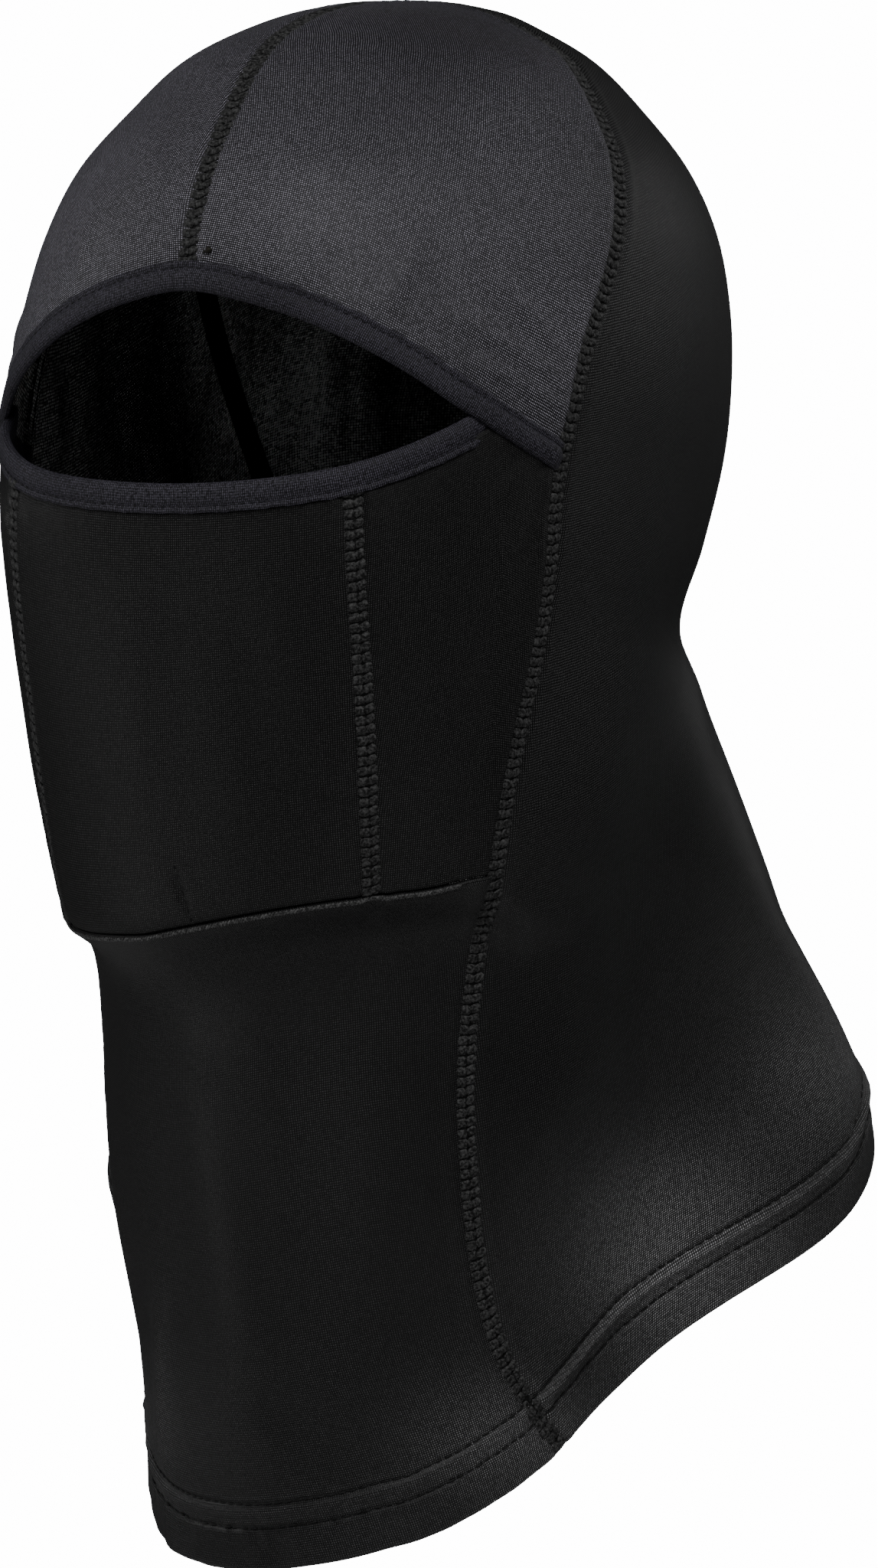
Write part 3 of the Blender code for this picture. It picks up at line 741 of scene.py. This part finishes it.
class Nodes:
    """Short-hand for building a material's node tree."""

    def __init__(self, name):
        self.material = bpy.data.materials.new(name)
        self.material.use_nodes = True
        self.tree = self.material.node_tree
        self.shader = self.tree.nodes["Principled BSDF"]

    def node(self, kind, inputs=(), **settings):
        made = self.tree.nodes.new(kind)
        for key, value in settings.items():
            setattr(made, key, value)
        for key, value in dict(inputs).items():
            self.feed(made.inputs[key], value)
        return made

    def feed(self, socket, value):
        if isinstance(value, bpy.types.NodeSocket):
            self.tree.links.new(value, socket)
        else:
            socket.default_value = value

    def math(self, operation, a, b=0.0, c=0.0):
        return self.node("ShaderNodeMath", {0: a, 1: b, 2: c}, operation=operation).outputs[0]

    def times(self, a, b):
        return self.math("MULTIPLY", a, b)

    def scaled(self, a, factor, shift):
        return self.math("MULTIPLY_ADD", a, factor, shift)

    def colour(self, factor, dark, light, held=True):
        """Mixes two colours into the shader's base colour."""
        made = self.node("ShaderNodeMix", {0: factor, 6: dark, 7: light}, data_type="RGBA", clamp_factor=held)
        self.feed(self.shader.inputs["Base Color"], made.outputs[2])

    def noise(self, vector, scale, detail=2.0, roughness=0.5):
        return self.node("ShaderNodeTexNoise", {"Vector": vector, "Scale": scale, "Detail": detail,
                                                "Roughness": roughness}).outputs["Fac"]

    def places(self):
        """The place in the object, and both UV coordinates."""
        coords = self.node("ShaderNodeTexCoord")
        uv = self.node("ShaderNodeSeparateXYZ", {0: coords.outputs["UV"]})
        return coords.outputs["Object"], uv.outputs[0], uv.outputs[1]

    def wave(self, x, depth=0.5):
        """A cosine of x cycles that rises to 1 and falls by twice the depth."""
        return self.scaled(self.math("COSINE", self.times(x, 2 * math.pi)), depth, 1 - depth)

    def between(self, value, low, high, to_low=0.0, to_high=1.0):
        """The value mapped from one range to another, and held to it."""
        return self.node("ShaderNodeMapRange", {"Value": value, "From Min": low, "From Max": high,
                                                "To Min": to_low, "To Max": to_high}).outputs[0]

    def surface(self, roughness, height, depth, strength, sheen, sheen_roughness, specular, tint=None):
        """The shader's relief, roughness, sheen and specular level."""
        bump = self.node("ShaderNodeBump", {"Height": height, "Strength": strength, "Distance": depth})
        self.feed(self.shader.inputs["Roughness"], roughness)
        self.feed(self.shader.inputs["Normal"], bump.outputs["Normal"])
        self.shader.inputs["Sheen Weight"].default_value = sheen
        self.shader.inputs["Sheen Roughness"].default_value = sheen_roughness
        self.shader.inputs["Specular IOR Level"].default_value = specular
        if tint:
            self.shader.inputs["Sheen Tint"].default_value = tint
        return self.material


def grey(level, blue=0.0):
    """A linear colour from an sRGB level of 0 to 255, a little blue if asked."""
    def linear(c):
        c = c / 255
        return c / 12.92 if c <= 0.04045 else ((c + 0.055) / 1.055) ** 2.4
    return (linear(level + blue * 0.25), linear(level), linear(level + blue), 1.0)


def knit_material(name, yarn, gap, wale=0.555, course=0.55, roughness=0.42, sheen=0.0, depth=0.0003,
                  fuzz=0.0, patches=0.18, specular=0.6, sharp=1.3, grain=1.0, painted_light_name="painted_light"):
    """Fine jersey: a grid of bright yarn loops over dark gaps, with uneven yarn and soft patches. wale and
    course are the loops' spacings in millimetres, and painted_light_name names the attribute of painted
    highlight and shade that brightens or darkens them."""
    n = Nodes(name)
    place, u, v = n.places()
    waver = n.noise(place, 260.0, 1.0)
    shift = n.scaled(waver, 0.7, -0.35)
    u, v = n.scaled(u, 1 / UV_SCALE / wale, shift), n.scaled(v, 1 / UV_SCALE / course, shift)
    # Painted light: painted highlight brightens the loops, and painted shade sharpens and so darkens them.
    painted_light = n.node("ShaderNodeAttribute", attribute_name=painted_light_name).outputs["Fac"]
    painted_darkening = n.math("MAXIMUM", n.times(painted_light, -1.0), 0.0)
    loop = n.math("POWER", n.times(n.wave(u), n.wave(v)), n.scaled(painted_darkening, DARKER_LOOPS, sharp))
    cell = n.node("ShaderNodeCombineXYZ", {0: n.math("FLOOR", n.math("ADD", u, 0.5)),
                                           1: n.math("FLOOR", n.math("ADD", v, 0.5))})
    uneven = n.node("ShaderNodeTexWhiteNoise", {"Vector": cell.outputs[0]}, noise_dimensions="2D")
    lively = n.scaled(uneven.outputs["Value"], 0.9 + fuzz, 0.55 - 0.5 * fuzz)
    stretched = n.node("ShaderNodeMapping", {"Vector": place, "Scale": (1.0, 1.0, grain)}).outputs[0]
    soft = n.between(n.noise(stretched, 22.0 / grain, 3.0), 0.3, 0.7, 1 - patches, 1 + patches)
    soft = n.times(soft, n.math("ADD", n.math("MAXIMUM", painted_light, 0.0), 1.0))
    n.colour(n.times(n.times(loop, lively), soft), gap, yarn, held=False)
    return n.surface(n.scaled(loop, -0.12, roughness + 0.08),
                     n.math("ADD", loop, n.times(waver, 0.3 + fuzz)), depth, 0.9,
                     sheen, 0.45, specular, (0.62, 0.6, 0.72, 1))


def binding_material(name, light, dark):
    """Folded elastic with a fine rib straight across it, and uneven threads."""
    n = Nodes(name)
    place, u, v = n.places()
    waver = n.noise(place, 500.0, 2.0)
    shift = n.times(waver, 0.8)
    rib = n.wave(n.scaled(u, 1 / UV_SCALE / BINDING_RIB, shift))
    pick = n.wave(n.scaled(v, 1 / UV_SCALE / BINDING_PICK, shift), 0.35)
    speck = n.between(n.noise(place, 1900.0, 2.0), 0.36, 0.66)
    grain = n.times(n.times(rib, pick), n.scaled(speck, 1.3, 0.25))
    n.colour(n.times(grain, n.math("ADD", n.noise(place, 40.0, 2.0), 0.5)), dark, light)
    return n.surface(n.scaled(waver, 0.15, 0.5), grain, 0.0002, 0.8, 0.04, 0.4, 0.3,
                     (0.62, 0.62, 0.8, 1))


def thread_material(name, light, dark, scale=1600.0, sheen=0.05):
    """Textured polyester thread: uneven filaments, with light flecks painted into the colour as glints."""
    n = Nodes(name)
    fibre = n.noise(n.node("ShaderNodeTexCoord").outputs["Object"], scale, 3.0, 0.65)
    n.colour(n.between(fibre, 0.42, 0.66), dark, light)
    return n.surface(n.scaled(fibre, 0.3, 0.45), fibre, 0.00016, 0.8, sheen, 0.5, 0.4)


CROWN_KNIT = knit_material("crown_knit", grey(238, 17), grey(8, 3), sheen=0.04, specular=0.5, sharp=1.5)
BODY_KNIT = knit_material("body_knit", grey(82, 1), grey(1), roughness=0.36, specular=0.55)
MASK_KNIT = knit_material("mask_knit", grey(94), grey(1), roughness=0.4, specular=0.4, sharp=1.6)
# The inside's yarn is near white and its tall patches strong: painted light for the little lamp light that
# reaches into the hood, and painted light and shade in place of its inner folds.
INSIDE_KNIT = knit_material("inside_knit", grey(255), grey(6), 0.72, 0.74, roughness=0.9, fuzz=0.6,
                            patches=0.95, specular=0.3, sharp=0.6, grain=0.3, painted_light_name="painted_light_inside")
BINDING = binding_material("binding_elastic", grey(118, 15), grey(7, 4))
THREAD = thread_material("flatlock_thread", grey(94), grey(3))
EDGE_THREAD = thread_material("edge_thread", grey(86), grey(4))
HEM_THREAD = thread_material("hem_thread", grey(40), grey(6))
# Much lighter than the cloth it is folded from: a painted highlight along the chin seam's folded edge.
LIP_HIGHLIGHT = thread_material("lip_painted_highlight", grey(125), grey(45))
BINDING_THREAD = thread_material("binding_thread", grey(60, 12), grey(6, 4))
KNOT_THREAD = thread_material("knot_thread", (0.03, 0.024, 0.012, 1), (0.006, 0.005, 0.004, 1))
SEAM_CLOTH = thread_material("seam_cloth", grey(14), grey(3), scale=1200)
INSIDE_STRIP = thread_material("inside_dark_strip", grey(12), grey(4), scale=900, sheen=0.0)

# ---- the pieces

SEAM_HALF = 0.35          # the cloth reaches almost to the seam's middle, under its threads
UNDER_BINDING = 1.2       # and this far from the binding's middle, inside its fold
BINDING_HALF = 3.4        # from its middle to where a seam starts


def start_of(left, right):
    """Drop at which two seam edges that part below the crown first make room for cloth."""
    drop = np.linspace(0.02, 2, 400)
    return float(drop[np.argmax(right(drop) - left(drop) > 2.0)])


def edges_of(sign, near, far):
    """A panel's left and right edges between two seams, the near one being closer to the front."""
    pair = [beside(near, sign * SEAM_HALF), beside(far, -sign * SEAM_HALF)]
    return pair if sign > 0 else pair[::-1]


def back_edges(sign, seam):
    return edges_of(sign, seam, lambda drop: sign * middle_back(drop))


FRONT_EDGES = edges_of(1, right_side_seam, side_seam)


def build_hood():
    """Crown and back panels on both sides."""
    made = []
    brow_top = below(brow, -UNDER_BINDING)
    for side, sign, seam, _ in SIDES:
        for name, pair, bottom, materials, slot in (
                (f"crown_front_{side}", edges_of(sign, middle, seam), brow_top, [CROWN_KNIT, INSIDE_KNIT],
                 "knit_crown"),
                (f"back_{side}", back_edges(sign, seam), hem, [BODY_KNIT, INSIDE_KNIT], "knit_body")):
            first = start_of(*pair)
            edges = (*pair, lambda angle: np.full(np.shape(angle), first), bottom)
            hemmed = bottom is hem
            made.append(knit_panel(name, edges, materials, slot, 1.8 if hemmed else 1.4,
                                   bound=(False, not hemmed), rolls=(0, FOLD_RADIUS * hemmed)))
    return made


MASK_EDGE_ROLL, CHIN_LIP_ROLL = 0.8, 0.95


def build_mask():
    under_mask = below(mask_edge, UNDER_BINDING)
    under_brow = below(brow, UNDER_BINDING - 1.0)
    above_chin = below(chin, -0.1 - MASK_EDGE_ROLL)
    cheek_top = tabulated(lambda a: np.maximum(under_mask(a), under_brow(a)), ANGLE_SAMPLES)
    common = dict(materials=[MASK_KNIT, INSIDE_KNIT], slot="knit_mask", spacing=1.2, bound=(True, False),
                  rolls=(0, MASK_EDGE_ROLL))
    inner = edges_of(1, right_cheek_seam, cheek_seam)
    made = [knit_panel("mask_centre", (*inner, under_mask, above_chin), **common)]
    for side, sign, seam, cheek in SIDES:
        pair = edges_of(sign, cheek, seam)
        made.append(knit_panel(f"mask_cheek_{side}", (*pair, cheek_top, above_chin), **common))
    return made


def build_neck():
    edges = (*FRONT_EDGES, below(chin, 0.1 + CHIN_LIP_ROLL), hem)
    return knit_panel("neck_front", edges, [BODY_KNIT, INSIDE_KNIT], "knit_body", spacing=1.5,
                      rolls=(CHIN_LIP_ROLL, FOLD_RADIUS), lip=0.5)


def hem_facing(name, left, right):
    """The turned-up layer inside the hem, from the fold upwards."""
    across = np.ptp(skin(left(300.0), 300.0) - skin(right(300.0), 300.0))
    angle, drop = patch(left, right, below(hem, -HEM_FACING), hem, int(across / 2.5) + 20, 9)
    points = cloth(angle, drop, -2 * FOLD_RADIUS)
    u, v = arc_lengths(points, 1), arc_lengths(points, 0)
    inward = -outward(angle[-1], drop[-1])
    points, u, v = roll_in(points, u, v, inward, FOLD_RADIUS, False, turn=0.55 * np.pi, steps=4)
    return finish_cloth(name, points, u, v, [BODY_KNIT], thickness=KNIT - 0.15, inside_out=True)


def build_hem():
    made = [hem_facing("hem_facing_front", *FRONT_EDGES)]
    for side, sign, seam, _ in SIDES:
        made.append(hem_facing(f"hem_facing_{side}", *back_edges(sign, seam)))
    for name, up in zip(("hem_stitching_lower", "hem_stitching_upper"), HEM_ROWS):
        angle = np.linspace(-180, 180, 1500)
        row = below(hem, -up)(angle)
        made.append(stitch_row(name, angle, row, 2.7, 2.2, HEM_THREAD, 0.14, 0.26, closed=True))
    return made


def from_crown(start, end, count):
    """Drops down a seam, closer together at the crown."""
    return np.concatenate([np.linspace(start, 3, 60), np.linspace(3.2, end, count)])


def build_seams():
    made = []
    for side, sign, seam, _ in SIDES:
        drop = from_crown(0.02, 342.5, 700)
        made += flatlock(f"side_seam_{side}", seam(drop), drop, mirror=sign)
    forehead_end = float(below(brow, -BINDING_HALF)(0.0))
    for name, line, end, count in (("centre_front_seam", middle, forehead_end, 200),
                                   ("centre_back_seam", middle_back, HEM_LINE[-1][1], 500)):
        drop = from_crown(0.04, end, count)
        made += flatlock(name, line(drop), drop)
    return made


def build_cheek_seams():
    made = []
    for side, sign, _, cheek in SIDES:
        start = float(below(mask_edge, BINDING_HALF)(cheek(118.0)))
        end = float(below(chin, -1.0)(cheek(212.0)))
        drop = np.linspace(start, end, 300)
        made += flatlock(f"cheek_seam_{side}", cheek(drop), drop, mirror=sign)
    return made


def build_bindings():
    """The two bindings with their stitching, first the brow's and then the mask's."""
    pairs = []
    for name, line, reach, stitched, sewn_up, end_lift in (
            ("brow_binding", brow, 59.5, 58.0, 1, 0.45), ("mask_binding", mask_edge, 48.0, 41.0, -1, -1.5)):
        angle = np.linspace(-stitched, stitched, 600)
        row = below(line, sewn_up * STITCH_ACROSS)(angle)
        pairs.append([binding(name, line, -reach, reach, sewn_up, BINDING, end_lift),
                      stitch_row(name + "_stitching", angle, row, 2.4, 1.35, BINDING_THREAD, 0.36, 0.24)])
    return pairs


# A flat dark strip without texture inside the back, a little right of the middle.
def build_inside_strip():
    drop = np.linspace(50, 140, 60)
    top, bottom, half = -KNIT - 0.25, -KNIT - 0.65, 2.9
    profile = [(-half, top), (-half, bottom), (0, bottom - 0.1), (half, bottom), (half, top)]
    return ribbon_piece("inner_tape", smooth(INSIDE_STRIP_LINE, drop), drop, profile, 2.0, INSIDE_STRIP)


def build_turning():
    """The cut edges behind the chin seam."""
    angle = np.linspace(-44, 42, 200)
    profile = [(-2.2, -1.9), (2.2, -1.9), (2.2, -2.7), (-2.2, -2.7)]
    return ribbon_piece("chin_turning", angle, chin(angle), profile, 2.5, BODY_KNIT)


def build_lip():
    """The thin twisted edge that shows along the chin seam, its light colour a painted highlight."""
    angle = np.linspace(-46, 43, 500)
    centre, across, along, normal, at = along_route(angle, below(chin, 0.7)(angle), 0.85, 0.55)
    frames = []
    for k in range(len(centre)):
        x, y = turned(along[k], across[k], 34 + 5 * RANDOM.uniform(-1, 1))
        frames.append((centre[k], x, y, normal[k], np.array([0.9, 0.36, 0.42])))
    return stamp("chin_lip", *KNOT, frames, LIP_HIGHLIGHT, "fine_thread", extra=True)


def build_dart():
    drop = np.linspace(206, 218, 40)
    return stitch_row("chin_dart", -3.4 + (drop - 206) * 0.15, drop, 2.0, 1.5, HEM_THREAD, 0.05, 0.2)


def build_knot():
    """A snipped thread end beside the forehead seam."""
    angle, drop = np.array([3.6]), np.array([60.6])
    place, out = cloth(angle, drop, 0.4)[0], outward(angle, drop)[0]
    x = unit(np.cross(out, [0, 0, 1.0]))
    y = np.cross(out, x)
    lump = (place, x, y, out, np.array([0.85, 0.8, 0.7]))
    tail = (place + x * 0.9 + y * 0.4, unit(x + y * 0.4), unit(y - x * 0.4), out,
            np.array([0.7, 0.25, 0.25]))
    return stamp("seam_thread_knot", *KNOT, [lump, tail], KNOT_THREAD, "seam_thread")


hood_panels = build_hood()
mask_panels = build_mask()
neck = build_neck()
hem_pieces = build_hem()
seams = build_seams()
cheek_seams = build_cheek_seams()
brow_pieces, mask_binding_pieces = build_bindings()
inside_strip, turning, lip, dart, knot = build_inside_strip(), build_turning(), build_lip(), build_dart(), build_knot()

for piece in [*hood_panels, neck, *hem_pieces, *seams, *brow_pieces, inside_strip, turning, lip, knot]:
    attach(piece, "hood")

# The mask is held at its side seams and at the chin, and goes down with the binding in the middle.
for piece in [*mask_panels, *cheek_seams, *mask_binding_pieces, dart]:
    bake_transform(piece)

# ---- camera, light and floor

AZIMUTH = 30.0
CAMERA_DISTANCE = 9.0
SENSOR = 36.0
FRAME_HEIGHT = 0.3725
CENTRE_ACROSS = 0.0134    # of the picture's middle, to the right of the hood's axis
CENTRE_HEIGHT = -0.1862
LIGHTS = [                # name, azimuth, elevation, diameter and power
    ("key", 27, 45, 0.9, 8), ("right", 88, 40, 0.9, 3), ("low", -45, -30, 1.0, 4.6),
    ("left", -72, 20, 0.9, 3.2), ("rim", 155, 22, 0.9, 1.8),
]
LIGHT_DISTANCE = 1.6
LIGHT_AIM = Vector((0, 0, -0.18))
FLOOR_RADIUS, FLOOR_HEIGHT = 0.62, -0.47
BACKDROP_WHITE, SOFT_FILL = 15.0, 0.02


def way_to(azimuth, elevation):
    """Unit vector towards a place round the hood, from its front round to its left."""
    a, e = math.radians(azimuth), math.radians(elevation)
    return Vector((math.sin(a) * math.cos(e), -math.cos(a) * math.cos(e), math.sin(e)))


def place_and_aim(name, data, place, back):
    made = bpy.data.objects.new(name, data)
    made.location = place
    made.rotation_euler = (-back).to_track_quat("-Z", "Y").to_euler()
    bpy.context.scene.collection.objects.link(made)
    return made


def add_camera():
    back = way_to(AZIMUTH, 0)
    aim = way_to(AZIMUTH + 90, 0) * CENTRE_ACROSS + Vector((0, 0, CENTRE_HEIGHT))
    data = bpy.data.cameras.new("camera")
    data.sensor_fit = "AUTO"
    data.sensor_width = SENSOR
    data.lens = SENSOR * CAMERA_DISTANCE / FRAME_HEIGHT
    bpy.context.scene.camera = place_and_aim("camera", data, aim + back * CAMERA_DISTANCE, back)


def add_lights():
    for name, azimuth, elevation, diameter, power in LIGHTS:
        way = way_to(azimuth, elevation)
        data = bpy.data.lights.new(name, "AREA")
        data.shape = "DISK"
        data.size = diameter
        data.energy = power
        place_and_aim(name, data, LIGHT_AIM + way * LIGHT_DISTANCE, way)


def add_floor():
    bpy.ops.mesh.primitive_circle_add(vertices=96, radius=FLOOR_RADIUS, fill_type="NGON",
                                      location=(0, 0, FLOOR_HEIGHT))
    floor = bpy.context.object
    floor.name = "floor"
    n = Nodes("floor_white")
    n.shader.inputs["Base Color"].default_value = (0.86, 0.86, 0.86, 1)
    n.shader.inputs["Roughness"].default_value = 0.8
    floor.data.materials.append(n.material)


def add_world():
    """White to the camera, and a dim even fill for the object."""
    world = bpy.data.worlds.new("studio")
    bpy.context.scene.world = world
    world.use_nodes = True
    tree = world.node_tree
    white, fill = tree.nodes["Background"], tree.nodes.new("ShaderNodeBackground")
    for background, strength in ((white, BACKDROP_WHITE), (fill, SOFT_FILL)):
        background.inputs["Color"].default_value = (1, 1, 1, 1)
        background.inputs["Strength"].default_value = strength
    seen = tree.nodes.new("ShaderNodeLightPath")
    mix = tree.nodes.new("ShaderNodeMixShader")
    tree.links.new(seen.outputs["Is Camera Ray"], mix.inputs[0])
    tree.links.new(fill.outputs[0], mix.inputs[1])
    tree.links.new(white.outputs[0], mix.inputs[2])
    tree.links.new(mix.outputs[0], tree.nodes["World Output"].inputs[0])


add_camera()
add_floor()
add_world()
add_lights()
